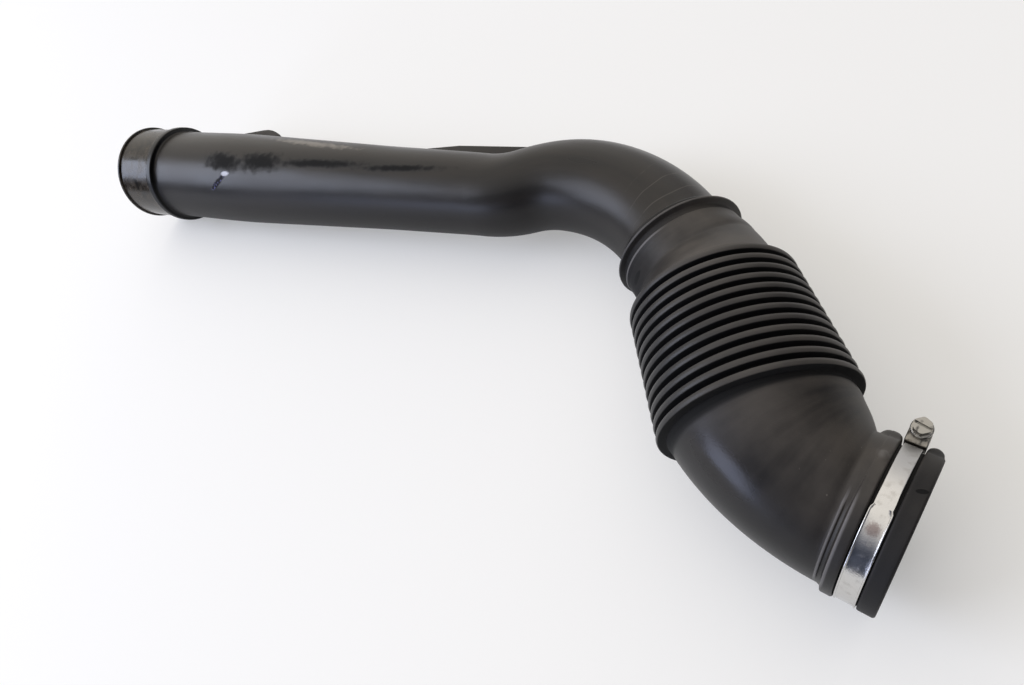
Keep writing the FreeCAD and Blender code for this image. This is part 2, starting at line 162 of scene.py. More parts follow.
# Sizes of the clamp
BAND_INSIDE = GROOVE_RADIUS + 0.15
BAND_FACE = BAND_INSIDE + 0.8
BAND_EDGE = BAND_FACE + 0.6
HALF_BAND = 4.6
HALF_TAIL = HALF_BAND - 0.8 - 0.1
TAIL_FACE = BAND_FACE + 0.7
TAIL_ANGLE = 88.0
BASE_FACE = TAIL_FACE + 0.1
WORM_RADIUS = 3.4
TUNNEL_RADIUS = WORM_RADIUS + 0.05
ARCH_RADIUS = TUNNEL_RADIUS + 1.2
WORM_AXIS = BASE_FACE + 3.6 + TUNNEL_RADIUS
HALF_HOUSING = 4.7
HALF_TUNNEL = 8.5
COLLAR_FACE = HALF_TUNNEL + 0.3
HEAD_COLLAR_RADIUS = 4.7
HEAD_FACE = COLLAR_FACE + 2.4
HEAD_END = HEAD_FACE + 5.2
HEAD_FLATS = 7.0
HEAD_ANGLE = -21.0
SLOT_WIDTH = 1.2
SLOT_DEPTH = 1.8
HALF_SLOT_LENGTH = 6.0
SLOT_ANGLE = -9.0
# The worm's own frame, with X along the screw.
WORM = CLAMP @ shift(0.0, WORM_AXIS) @ turn("Y", -90.0)


def rounded(corners, step=4.0):
    """A profile through corners (x, radius, fillet) with its corners rounded and its runs divided."""
    points = []
    places = [np.array(corner[:2], float) for corner in corners]
    for i, corner in enumerate(corners):
        here = places[i]
        if i in (0, len(corners) - 1) or corner[2] == 0:
            points.append(here)
            continue
        before = (places[i - 1] - here) / np.linalg.norm(places[i - 1] - here)
        after = (places[i + 1] - here) / np.linalg.norm(places[i + 1] - here)
        half = math.acos(np.clip(before @ after, -1, 1)) / 2
        reach = corner[2] / math.tan(half)
        middle = here + (before + after) / np.linalg.norm(before + after) * corner[2] / math.sin(half)
        first = here + before * reach - middle
        last = here + after * reach - middle
        sweep = math.atan2(first[0] * last[1] - first[1] * last[0], first @ last)
        count = max(3, int(abs(math.degrees(sweep)) / 15))
        for k in range(count + 1):
            a = sweep * k / count
            spun = (
                first[0] * math.cos(a) - first[1] * math.sin(a),
                first[0] * math.sin(a) + first[1] * math.cos(a),
            )
            points.append(middle + spun)
    filled = [points[0]]
    for point in points[1:]:
        count = max(1, math.ceil(np.linalg.norm(point - filled[-1]) / step))
        start = filled[-1]
        filled += [start + (point - start) * k / count for k in range(1, count + 1)]
    return filled


def way_round(count):
    """Angles round a frame's X axis: from its underside by its Y side to its top, and on."""
    return -math.pi / 2 + 2 * math.pi * np.arange(count) / count


def ring(place, reach, count):
    """Points round the X axis of a frame, at one reach or at a reach for each way round."""
    angle = way_round(count)
    sideways = np.outer(reach * np.cos(angle), place[:3, 1])
    return place[:3, 3] + sideways + np.outer(reach * np.sin(angle), place[:3, 2])


def solid(name, points, faces, corners=None):
    """A closed mesh in millimetres, with its faces turned outwards and an optional UV for each corner."""
    points = np.asarray(points, float)
    fans = np.array([(face[0], face[k], face[k + 1]) for face in faces for k in range(1, len(face) - 1)])
    first, second, third = (points[fans[:, k]] for k in range(3))
    if (first * np.cross(second, third)).sum() < 0:
        faces = [face[::-1] for face in faces]
        corners = corners and [corner[::-1] for corner in corners]
    mesh = bpy.data.meshes.new(name)
    mesh.from_pydata((points * MM).tolist(), [], faces)
    if corners:
        spread = np.array([uv for corner in corners for uv in corner], np.float32)
        mesh.uv_layers.new(name="duct").data.foreach_set("uv", spread.ravel())
    mesh.polygons.foreach_set("use_smooth", [True] * len(faces))
    mesh.update()
    made = bpy.data.objects.new(name, mesh)
    bpy.context.scene.collection.objects.link(made)
    return made


def skinned(name, rings, along, ends="joined"):
    """A solid over rings of points, with a UV of the length along in metres and the way round in turns."""
    rows, count = len(rings), len(rings[0])
    faces = []
    corners = []
    for i in range(rows if ends == "joined" else rows - 1):
        nxt = (i + 1) % rows
        near, far = along[i] * MM, along[nxt] * MM
        for j in range(count):
            k = (j + 1) % count
            low, high = j / count, (j + 1) / count
            faces.append((i * count + j, nxt * count + j, nxt * count + k, i * count + k))
            corners.append(((near, low), (far, low), (far, high), (near, high)))
    if ends == "capped":
        for row, order in ((0, 1), (rows - 1, -1)):
            faces.append(tuple(range(row * count, (row + 1) * count))[::order])
            corners.append(tuple((along[row] * MM, j / count) for j in range(count))[::order])
    return solid(name, np.concatenate(rings), faces, corners)


def turned(name, place, rows, count, ends="joined"):
    """A solid round the X axis of a frame, from its reach at each place along it."""
    rings = [ring(place @ shift(x), reach, count) for x, reach in rows]
    return skinned(name, rings, [x for x, reach in rows], ends)


def add(tree, kind, inputs=None, **settings):
    """A node with its settings, and with its inputs set or linked."""
    made = tree.nodes.new(kind)
    for key, value in settings.items():
        setattr(made, key, value)
    for socket, value in (inputs or {}).items():
        if isinstance(value, bpy.types.NodeSocket):
            tree.links.new(value, made.inputs[socket])
        else:
            made.inputs[socket].default_value = value
    return made


def colour(code):
    """Linear colour of an sRGB hex value."""
    parts = [int(code[i:i + 2], 16) / 255 for i in (1, 3, 5)]
    return (*(c / 12.92 if c <= 0.04045 else ((c + 0.055) / 1.055) ** 2.4 for c in parts), 1.0)


def new_material(name):
    """A material with a shader of its own to set."""
    made = bpy.data.materials.new(name)
    made.use_nodes = True
    tree = made.node_tree
    tree.nodes.clear()
    output = add(tree, "ShaderNodeOutputMaterial")
    shader = add(tree, "ShaderNodeBsdfPrincipled")
    tree.links.new(shader.outputs[0], output.inputs["Surface"])
    return made, tree, shader


# Lengths round the pipe and the boot, for patterns in millimetres
PIPE_GIRTH = 2 * math.pi * 33.0
BOOT_GIRTH = 2 * math.pi * 38.0


def surface_place(tree, girth):
    """Where a point lies on the duct, in millimetres along it and round it, from the piece's own UV map."""
    uv = add(tree, "ShaderNodeUVMap", uv_map="duct").outputs[0]
    scale = (1 / MM, girth, 1.0)
    return add(tree, "ShaderNodeVectorMath", {0: uv, 1: scale}, operation="MULTIPLY").outputs[0]


def body_place(tree):
    """Where a point lies in the piece's own space, in millimetres."""
    place = add(tree, "ShaderNodeTexCoord").outputs["Object"]
    return add(tree, "ShaderNodeVectorMath", {0: place, "Scale": 1 / MM}, operation="SCALE").outputs[0]


def off_line(tree, way, line):
    """How far round from a line along the duct a point lies, in millimetres."""
    off = add(tree, "ShaderNodeMath", {0: way, 1: line}, operation="SUBTRACT").outputs[0]
    return add(tree, "ShaderNodeMath", {0: off}, operation="ABSOLUTE").outputs[0]


def patch(tree, place, ragged, middle, size, tilt, raggedness):
    """How far off a patch's middle a point lies, with its ragged edge at 1; lengths are in millimetres."""
    local = add(tree, "ShaderNodeMapping", {
        "Vector": place,
        "Location": (*middle, 0.0)[:3],
        "Rotation": (0.0, 0.0, math.radians(tilt)),
        "Scale": (*size, 1.0)[:3],
    }, vector_type="TEXTURE").outputs[0]
    away = add(tree, "ShaderNodeVectorMath", {0: local}, operation="LENGTH").outputs["Value"]
    torn = add(tree, "ShaderNodeMath", {0: ragged, 1: raggedness, 2: away}, operation="MULTIPLY_ADD")
    return torn.outputs[0]


def cloud(tree, place, grain, detail, stretch=(1.0, 1.0, 1.0)):
    """An uneven pattern from -0.5 to 0.5, with patches about one grain wide in the units of its place."""
    spread = add(tree, "ShaderNodeVectorMath", {0: place, 1: stretch}, operation="MULTIPLY").outputs[0]
    noise = add(tree, "ShaderNodeTexNoise", {"Vector": spread, "Scale": 1.0 / grain, "Detail": detail})
    return add(tree, "ShaderNodeMath", {0: noise.outputs["Fac"], 1: 0.5}, operation="SUBTRACT").outputs[0]


def coated(tree, shader, base, finish, coats):
    """Lays coats over a base colour and a roughness.

    A coat has its limits, its tint, the amount of that tint and its roughness. A limit is a value with
    where the coat starts and where it is whole, softly, or evenly where a fourth word says so.
    """
    paint = colour(base)
    for limits, tint, amount, rough in coats:
        shown = 1.0
        for value, start, whole, *evenly in limits:
            shown = add(tree, "ShaderNodeMapRange", {
                "Value": value, "From Min": start, "From Max": whole, "To Max": shown,
            }, interpolation_type="LINEAR" if evenly else "SMOOTHSTEP").outputs[0]
        if tint:
            share = add(tree, "ShaderNodeMath", {0: shown, 1: amount}, operation="MULTIPLY").outputs[0]
            mixed = add(tree, "ShaderNodeMix", {0: share, 6: paint, 7: colour(tint)}, data_type="RGBA")
            paint = mixed.outputs[2]
        if rough:
            finish = add(tree, "ShaderNodeMix", {0: shown, 2: finish, 3: rough}).outputs[0]
    tree.links.new(paint, shader.inputs["Base Color"])
    tree.links.new(finish, shader.inputs["Roughness"])


def embossed(tree, shader, strength, depth, patterns):
    """Gives a surface the relief of patterns, each with its share of a depth in millimetres."""
    height = 0.0
    for pattern, share in patterns:
        summed = add(tree, "ShaderNodeMath", {0: pattern, 1: share, 2: height}, operation="MULTIPLY_ADD")
        height = summed.outputs[0]
    bump = add(tree, "ShaderNodeBump", {"Height": height, "Strength": strength, "Distance": depth * MM})
    tree.links.new(bump.outputs[0], shader.inputs["Normal"])


# Black polyamide, blow-moulded: satin and brown with road dust, with a fine grain, dark oil at the
# spigot and in patches on the run, and pale rubbed places; painted shade on the stop collar and the
# end bead, and a dark mark with a painted glint and painted reflections.
pipe_plastic, tree, shader = new_material("polyamide_moulded")
place = surface_place(tree, PIPE_GIRTH)
length, way = add(tree, "ShaderNodeSeparateXYZ", {0: place}).outputs[:2]
broad = cloud(tree, place, 46.0, 4.0, (0.55, 1.0, 1.0))
fine = cloud(tree, place, 5.0, 5.0)
streak = cloud(tree, place, 9.0, 4.0, (0.18, 1.0, 1.0))
smudge = cloud(tree, place, 11.0, 3.0, (1.0, 0.5, 1.0))
painted_reflection_speckle = cloud(tree, place, 1.8, 1.0)
# The moulding's own grain is too fine to show from here, and is drawn coarser.
grain = cloud(tree, place, 0.9, 2.0)
uneven = add(tree, "ShaderNodeMath", {0: broad, 1: streak}, operation="ADD").outputs[0]
varnish = add(tree, "ShaderNodeMath", {0: smudge, 1: fine}, operation="ADD").outputs[0]
off_top = off_line(tree, way, 0.46 * PIPE_GIRTH)
off_collar = add(tree, "ShaderNodeMath", {0: length}, operation="ABSOLUTE").outputs[0]
oil = patch(tree, place, fine, (80.0, 113.0), (17.0, 6.0), 4.0, 1.5)
for middle, size, tilt in (
    ((116.0, 111.0), (18.0, 6.6), -3.0),
    ((170.0, 109.0), (36.0, 3.2), -3.0),
    ((238.0, 108.0), (30.0, 2.6), -4.0),
):
    spot = patch(tree, place, fine, middle, size, tilt, 1.5)
    oil = add(tree, "ShaderNodeMath", {0: oil, 1: spot}, operation="MINIMUM").outputs[0]
mark = patch(tree, place, fine, (75.0, 128.6), (9.6, 1.9), -38.4, 1.0)
painted_glint = patch(tree, place, fine, (83.2, 121.8), (2.9, 1.5), -6.0, 2.4)
rub = patch(tree, place, fine, (152.0, 88.0), (32.0, 3.2), 3.0, 2.4)
elbow_side = patch(tree, place, fine, (428.0, 96.0), (16.0, 22.0), 0.0, 1.6)
scratch = add(tree, "ShaderNodeTexWave", {
    "Vector": place, "Scale": 0.028, "Distortion": 7.0, "Detail": 3.0, "Detail Scale": 0.35,
}, wave_type="BANDS", bands_direction="X").outputs["Fac"]
coated(tree, shader, "#201e1c", 0.27, [
    # Road dust on the top, and an underside that is scuffed duller
    ([(uneven, -0.35, 0.30), (off_top, 70.0, 10.0)], "#2e2924", 0.75, 0.38),
    ([(off_top, 34.0, 54.0)], None, 0.0, 0.55),
    # Patches of oil on the run
    ([(oil, 1.6, 0.4)], "#050403", 0.95, 0.85),
    # Film of oil on the spigot, with brown varnish in it
    ([(length, 0.0, -4.0)], "#0d0c0b", 1.0, 0.08),
    ([(length, 0.0, -4.0), (varnish, -0.35, 0.4)], "#54493a", 0.5, 0.32),
    # Painted shade: the stop collar and the step up to the bead at the pipe's end, painted near black
    ([(off_collar, 4.2, 3.2)], "#0b0a0a", 1.0, None),
    ([(length, PIPE_LENGTH - 0.6, PIPE_LENGTH + 0.8)], "#090808", 1.0, None),
    # A dark blue mark beside the patches, with painted reflections speckled over it and a pale painted
    # glint at its head
    ([(mark, 1.25, 0.75)], "#06050b", 1.0, 0.75),
    ([(mark, 1.25, 0.75), (painted_reflection_speckle, 0.05, 0.15)], "#6a6aa0", 0.6, None),
    ([(painted_glint, 1.5, 0.5)], "#d3d4dc", 0.85, None),
    # A rubbed strip along the run, and faint scratches on the elbow
    ([(rub, 1.6, 0.4)], "#8d867b", 0.6, None),
    ([(scratch, 0.988, 1.0), (elbow_side, 1.5, 0.5)], "#8a847b", 0.16, None),
])
shader.inputs["Specular IOR Level"].default_value = 0.30
raised = add(tree, "ShaderNodeMapRange", {
    "Value": mark, "From Min": 1.25, "From Max": 0.75,
}, interpolation_type="SMOOTHSTEP").outputs[0]
embossed(tree, shader, 0.7, 1.0, ((grain, 0.06), (raised, 0.15), (broad, 0.6)))

# Black EPDM rubber, moulded: matt, brown with dust on the smooth parts and rubbed grey on the ribs'
# crests, with painted shade in its grooves and creases and for two small slots, painted highlights on
# its lip, beads and ridge edge, and a few pale specks.
boot_rubber, tree, shader = new_material("epdm_moulded")
place = surface_place(tree, BOOT_GIRTH)
length, way = add(tree, "ShaderNodeSeparateXYZ", {0: place}).outputs[:2]
broad = cloud(tree, place, 38.0, 4.0)
fine = cloud(tree, place, 3.2, 5.0)
streak = cloud(tree, place, 7.0, 4.0, (1.0, 0.16, 1.0))
speck = cloud(tree, place, 2.0, 1.5)
# The rubber's own grain is too fine to show from here, and is drawn coarser.
grain = cloud(tree, place, 0.8, 2.0)
uneven = add(tree, "ShaderNodeMath", {0: streak, 1: 0.35, 2: broad}, operation="MULTIPLY_ADD").outputs[0]
off_top = off_line(tree, way, 0.44 * BOOT_GIRTH)
crest = add(tree, "ShaderNodeAttribute", attribute_name="rib_height").outputs["Fac"]
painted_shade_and_highlight = add(tree, "ShaderNodeAttribute", attribute_name="painted_shade_and_highlight").outputs["Fac"]
elbow_outside = patch(tree, place, fine, (146.0, 151.5), (15.0, 9.0), 0.0, 0.4)
cuff_side = patch(tree, place, fine, (24.0, 162.0), (18.0, 20.0), 0.0, 0.4)
nub = patch(tree, place, fine, (193.6, 99.4), (2.3, 2.3), 0.0, 0.3)
cuff_mark = patch(tree, place, fine, (20.4, 161.0), (1.6, 6.4), 0.0, 0.2)
lip_mark = patch(tree, place, fine, (211.6, 109.6), (2.4, 1.1), -25.0, 0.2)
elbow_top = patch(tree, place, broad, (172.0, 112.0), (26.0, 26.0), 0.0, 1.0)
coated(tree, shader, "#131213", 0.40, [
    # Dust on the top, and a lip that has less of it and is dull
    ([(uneven, -0.40, 0.30), (off_top, 66.0, 8.0)], "#5b554e", 0.78, 0.56),
    ([(length, 202.0, 209.0)], "#131213", 0.7, None),
    ([(length, 203.0, 208.0)], None, 0.0, 0.62),
    # The outside of the elbow, rubbed smooth, and the cuff's dull side
    ([(elbow_outside, 1.9, 0.1)], None, 0.0, 0.15),
    ([(cuff_side, 1.6, 0.4)], None, 0.0, 0.85),
    # Crests of the ribs and the nub, rubbed grey
    ([(crest, 0.75, 1.0)], "#3c3b3a", 0.3, None),
    ([(nub, 1.5, 0.5)], "#6a6763", 0.5, None),
    # Painted highlights on the cuff's lip, its bead, the mouth's beads and the ridge's edge, where the
    # value is below nought
    ([(painted_shade_and_highlight, -0.1, -0.7)], "#716e6d", 0.6, None),
    # Painted shade, near black, in the grooves and creases, and two small slots shown only as painted shade
    ([(painted_shade_and_highlight, 0.0, 1.0, "evenly")], "#040404", 0.95, 0.85),
    ([(cuff_mark, 1.15, 0.85)], "#040404", 0.95, 0.85),
    ([(lip_mark, 1.15, 0.85)], "#040404", 0.95, 0.85),
    # Pale specks on top of the elbow
    ([(speck, 0.23, 0.29), (elbow_top, 1.5, 0.5)], "#8d867c", 0.45, None),
])
shader.inputs["Specular IOR Level"].default_value = 0.30
embossed(tree, shader, 0.6, 1.0, ((grain, 0.07), (broad, 0.5)))

# Stainless steel strip, cold-rolled bright: near mirror with a faint mottle, a few smears and a painted
# reflection.
band_steel, tree, shader = new_material("stainless_rolled")
place = body_place(tree)
smear = cloud(tree, place, 4.0, 4.0)
# The mottle of the rolled face is too fine to show from here, and is drawn coarser.
mottle = cloud(tree, place, 0.6, 2.0)
degrees_round = add(tree, "ShaderNodeSeparateXYZ", {0: surface_place(tree, 1.0)}).outputs["X"]
painted_reflection_place = (CLAMP @ turn("X", 101.0) @ np.array([0.0, BAND_FACE, 0.0, 1.0]))[:3]
painted_reflection = patch(tree, place, mottle, painted_reflection_place, (2.6, 2.6, 2.6), 0.0, 1.2)
coated(tree, shader, "#c9c8c6", 0.16, [
    ([(smear, 0.0, 0.25)], "#a5a19b", 0.5, 0.30),
    # Near the screw the strip is dull, and past the tail's end a pinkish-brown patch is a painted
    # reflection.
    ([(degrees_round, 84.0, 56.0)], None, 0.0, 0.48),
    ([(painted_reflection, 1.5, 0.5)], "#7d6a68", 0.7, None),
])
shader.inputs["Metallic"].default_value = 1.0
embossed(tree, shader, 0.6, 0.06, ((mottle, 1.0),))

# Zinc-plated steel, pressed or turned and gone dull: warm grey with patches of black grime.
dull_steel = {}
for slot, name, clean, grimy, grime_from in (
    ("housing_steel", "steel_pressed_plated", "#98948c", "#2b2620", 0.0),
    ("screw_steel", "steel_turned_plated", "#a6a39c", "#3f382f", 0.06),
):
    dull_steel[slot], tree, shader = new_material(name)
    place = body_place(tree)
    grime = cloud(tree, place, 2.6, 5.0)
    grime_whole = grime_from + 0.16
    coated(tree, shader, clean, 0.40, [([(grime, grime_from, grime_whole)], grimy, 0.85, 0.65)])
    bare = add(tree, "ShaderNodeMapRange", {
        "Value": grime, "From Min": grime_from, "From Max": grime_whole, "To Min": 1.0, "To Max": 0.35,
    }, interpolation_type="SMOOTHSTEP").outputs[0]
    tree.links.new(bare, shader.inputs["Metallic"])
    # The plating's pits are too fine to show from here, and are drawn coarser.
    embossed(tree, shader, 0.4, 0.1, ((cloud(tree, place, 0.5, 3.0), 1.0),))


# Edges sharper than this stay sharp on the pressed and turned pieces, in degrees.
CRISP_ANGLE = 24.0


def carry(piece, body, material, stands_for=None, crisp=False):
    """Gives a finished piece its material and its body, and hides any part it stands for; a crisp piece
    keeps its sharp edges.
    """
    if crisp:
        piece.data.set_sharp_from_angle(angle=math.radians(CRISP_ANGLE))
    piece.data.materials.clear()
    piece.data.materials.append(material)
    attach(piece, body)
    if stands_for:
        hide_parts(stands_for)


# Pipe
SEGMENTS = 144
pipe_outside = rounded([
    (SPIGOT_END, SPIGOT_MOUTH_RADIUS, 0),
    (SPIGOT_END, END_LIP_RADIUS, 0.9),
    (END_LIP, END_LIP_RADIUS, 0.8),
    (END_LIP, SPIGOT_RADIUS, 0.3),
    (-HALF_COLLAR, SPIGOT_RADIUS, 0.6),
    (-HALF_COLLAR, COLLAR_RADIUS, 1.2),
    (HALF_COLLAR, COLLAR_RADIUS, 1.2),
    (HALF_COLLAR, SHOULDER_RADIUS, 2.0),
    (SHOULDER_END, SHOULDER_RADIUS, 900.0),
    (TAPER_END, TUBE_RADIUS, 1500.0),
    (STRAIGHT_LENGTH, WAIST_RADIUS, 400.0),
    (JOG_END, JOG_END_RADIUS, 1500.0),
    (PIPE_LENGTH, ELBOW_END_RADIUS, 1.5),
    (PIPE_LENGTH, BEAD_RADIUS, 1.2),
    (PIPE_LENGTH + BEAD_WIDTH, BEAD_RADIUS, 0.8),
    (PIPE_LENGTH + BEAD_WIDTH, SLEEVE_RADIUS, 0.3),
    (PIPE_LENGTH + BEAD_WIDTH + SLEEVE_LENGTH, SLEEVE_RADIUS, 0),
])
pipe_inside = rounded([
    (PIPE_LENGTH + BEAD_WIDTH + SLEEVE_LENGTH, SLEEVE_RADIUS - PIPE_WALL, 0),
    (PIPE_LENGTH, SLEEVE_RADIUS - PIPE_WALL, 20.0),
    (JOG_END, JOG_END_RADIUS - PIPE_WALL, 400.0),
    (STRAIGHT_LENGTH, WAIST_RADIUS - PIPE_WALL, 400.0),
    (TAPER_END, TUBE_RADIUS - PIPE_WALL, 400.0),
    (SHOULDER_END, SHOULDER_RADIUS - PIPE_WALL, 400.0),
    (HALF_COLLAR, SHOULDER_RADIUS - PIPE_WALL, 1.0),
    (-HALF_COLLAR, SPIGOT_RADIUS - PIPE_WALL, 1.0),
    (SPIGOT_END + 0.8, SPIGOT_RADIUS - PIPE_WALL, 0.5),
    (SPIGOT_END, SPIGOT_MOUTH_RADIUS, 0),
], step=6.0)[:-1]
profile = pipe_outside + pipe_inside
# The hollow beside the web: its depth, and its place and width along the pipe and round it
HOLLOW_DEPTH = 2.2
HOLLOW_PLACE = 330.0
HOLLOW_LENGTH = 28.0
HOLLOW_ANGLE = 42.0
HOLLOW_SPREAD = 34.0


def hollow(x):
    """How deep the pipe is drawn in beside its web, for each way round."""
    off = np.degrees(way_round(SEGMENTS)) - HOLLOW_ANGLE
    depth = HOLLOW_DEPTH * math.exp(-((x - HOLLOW_PLACE) / HOLLOW_LENGTH) ** 2)
    return depth * np.exp(-(off / HOLLOW_SPREAD) ** 2)


pipe_rings = [ring(pipe_frame(x), r - hollow(x), SEGMENTS) for x, r in profile]
pipe = skinned("intake_pipe_wall", pipe_rings, [x for x, r in profile])
carry(pipe, "intake", pipe_plastic, "intake_pipe")

# Web in the hollow of the jog, and the lug with its hole
SEAM_THICKNESS = 4.0
SEAM_WAY = 0.25
SINK = 1.0
LUG_PLACE = 64.0
LUG_REACH = 50.2
LUG_RADIUS = 12.0
LUG_HOLE = 3.2


def seam_plate(name, outline, bevel, hole=None):
    """A flat plate on the pipe's mould seam, with its edges rounded and an optional round hole."""
    count = len(outline)
    half = SEAM_THICKNESS / 2
    levels = [(outline, -half), (outline, half)]
    if hole:
        x, y, radius = hole
        towards = [math.atan2(q - y, p - x) for p, q in outline]
        rim = [(x + radius * math.cos(a), y + radius * math.sin(a)) for a in towards]
        levels += [(rim, half), (rim, -half)]
    points = [(FOOT @ np.array([p, q, z, 1.0]))[:3] for loop, z in levels for p, q in loop]
    rows = len(levels)
    faces = []
    for i in range(rows if hole else 1):
        near, far = i * count, (i + 1) % rows * count
        faces += [(near + j, near + (j + 1) % count, far + (j + 1) % count, far + j) for j in range(count)]
    if not hole:
        faces += [tuple(reversed(range(count))), tuple(range(count, 2 * count))]
    corners = [[((points[i][0] - FOOT[0, 3]) * MM, SEAM_WAY) for i in face] for face in faces]
    made = solid(name, points, faces, corners)
    edge = made.modifiers.new("edge", "BEVEL")
    edge.width = bevel * MM
    edge.segments = 3
    edge.limit_method = "ANGLE"
    carry(made, "intake", pipe_plastic)


web_angle = math.radians(5.0)
jog_sine = math.sin(math.radians(JOG_ANGLE))
jog_cosine = math.cos(math.radians(JOG_ANGLE))
inner_reach = JOG_RADIUS - WAIST_RADIUS + SINK
outer_reach = JOG_RADIUS + TUBE_RADIUS
web_end_x = STRAIGHT_LENGTH + 2 * JOG_RADIUS * jog_sine - outer_reach * math.sin(web_angle)
web_end_y = 2 * JOG_RADIUS * (1 - jog_cosine) - JOG_RADIUS + outer_reach * math.cos(web_angle)
seam_plate("seam_web", [
    (STRAIGHT_LENGTH - 92.0, WAIST_RADIUS - SINK),
    (STRAIGHT_LENGTH, WAIST_RADIUS - SINK),
    (STRAIGHT_LENGTH + inner_reach * jog_sine, JOG_RADIUS - inner_reach * jog_cosine),
    (web_end_x, web_end_y),
    (STRAIGHT_LENGTH - 38.0, 39.7),
    (STRAIGHT_LENGTH - 74.0, 34.6),
], 0.8)
lug_foot = SHOULDER_RADIUS - SINK
lug_outline = rounded([
    (LUG_PLACE - 44.0, lug_foot, 0),
    (LUG_PLACE + 18.0, lug_foot, 0),
    (LUG_PLACE + 17.6, 44.0, 3.0),
    (LUG_PLACE + 4.0, LUG_REACH, 24.0),
    (LUG_PLACE - 27.0, 43.4, 30.0),
    (LUG_PLACE - 44.0, lug_foot, 0),
], step=3.0)[:-1]
seam_plate("lug", lug_outline, 0.7, (LUG_PLACE, LUG_REACH - LUG_RADIUS, LUG_HOLE))

# Boot: rings of points from the cuff to the mouth, and back inside the bore
BOOT_SEGMENTS = 160
BOOT_ANGLE = way_round(BOOT_SEGMENTS)


def neck_frame(share):
    """A frame between the cuff's end and the first rib."""
    move = 0.4 * eased(share) + 0.6 * share
    place = PIPE_END @ shift(CUFF_END + NECK_LENGTH * share, NECK_SIDEWAYS * move, NECK_RISE * move)
    return place @ turn("Z", BELLOWS_TURN * share) @ turn("Y", BELLOWS_TILT * share)


start_x = MOUTH_REACH - MOUTH_START * math.cos(math.radians(MOUTH_TURN))
start_y = MOUTH_SHIFT - MOUTH_START * math.sin(math.radians(MOUTH_TURN))
corner_x = start_x - start_y / math.tan(math.radians(MOUTH_TURN))


def elbow_frame(share):
    """A frame between the last rib and the mouth, along the boot's elbow."""
    blend = 2 * share * (1 - share)
    cut = 2 * blend * ELBOW_CUT
    half = math.radians(MOUTH_TURN) / 2
    x = corner_x * blend + start_x * share ** 2 - cut * math.sin(half)
    y = start_y * share ** 2 + cut * math.cos(half)
    return BELLOWS_END @ shift(x, y, -MOUTH_DROP * share) @ turn("Z", MOUTH_TURN * share)


def elbow_radius(share):
    """The radius along the boot's elbow, which bulges a little in its middle."""
    taper = LAST_ROOT_RADIUS * (1 - share) + MOUTH_NECK_RADIUS * share
    return taper + 4 * share * (1 - share) * ELBOW_BULGE


def off_angle(degrees):
    """How far round from an angle each way round the boot lies, in degrees."""
    away = (BOOT_ANGLE - math.radians(degrees) + math.pi) % (2 * math.pi) - math.pi
    return np.degrees(np.abs(away))


def beside(degrees, reach, run):
    """1 round about an angle of the boot and 0 beyond a reach, falling over a run; all in degrees."""
    return eased((reach - off_angle(degrees)) / run)


# On the screw's side the elbow runs smoothly into the ridge; on the far side two thin beads part them.
NECK_FILL = 2.6 * beside(CLAMP_ANGLE, 104.0, 40.0)
BEADED = beside(134.0, 52.0, 26.0)
# The cuff's bead shows on one side, and on the other the neck is fuller.
CUFF_BEADED = beside(146.0, 58.0, 34.0)
CUFF_FILL = 2.4 * beside(14.0, 78.0, 50.0)
# Locators stand on both sides of the clamp, beside its screw, and the nub stands on the ridge.
LOCATED = beside(CLAMP_ANGLE, LOCATOR_HALF + 4.0, 14.0)
LOCATOR_ROUNDING = 3.7
NUB_HEIGHT = 1.6
NUB_ANGLE = 60.0


def mouth_lift(x):
    """How far the locators and the nub stand up at a place along the mouth, for each way round."""
    lift = np.zeros(BOOT_SEGMENTS)
    for near, far in ((-GROOVE_START - 9.0, -GROOVE_START + 0.2), (-LIP_WIDTH - 0.2, -LIP_WIDTH + 7.2)):
        share = np.clip(min(x - near, far - x) / LOCATOR_ROUNDING, 0, 1)
        dome = np.sqrt(1 - (1 - share) ** 2)
        lift += LOCATOR_HEIGHT * dome * LOCATED
    away = np.hypot((x + GROOVE_START + 3.0) / 1.9, off_angle(NUB_ANGLE) / 3.6)
    return lift + NUB_HEIGHT * np.exp(-away ** 2)


boot_rings = []
boot_along = []
rib_height = []
painted_shade_and_highlight_rings = []


def boot_ring(place, reach, along, rise=0.0, painted_shade_and_highlight=0.0):
    """Adds a ring to the boot, with its rib's height and its painted shade, or below nought its painted
    highlight.
    """
    boot_rings.append(ring(place, reach, BOOT_SEGMENTS))
    boot_along.append(along)
    rib_height.append(rise)
    painted_shade_and_highlight_rings.append(np.broadcast_to(painted_shade_and_highlight, BOOT_SEGMENTS))


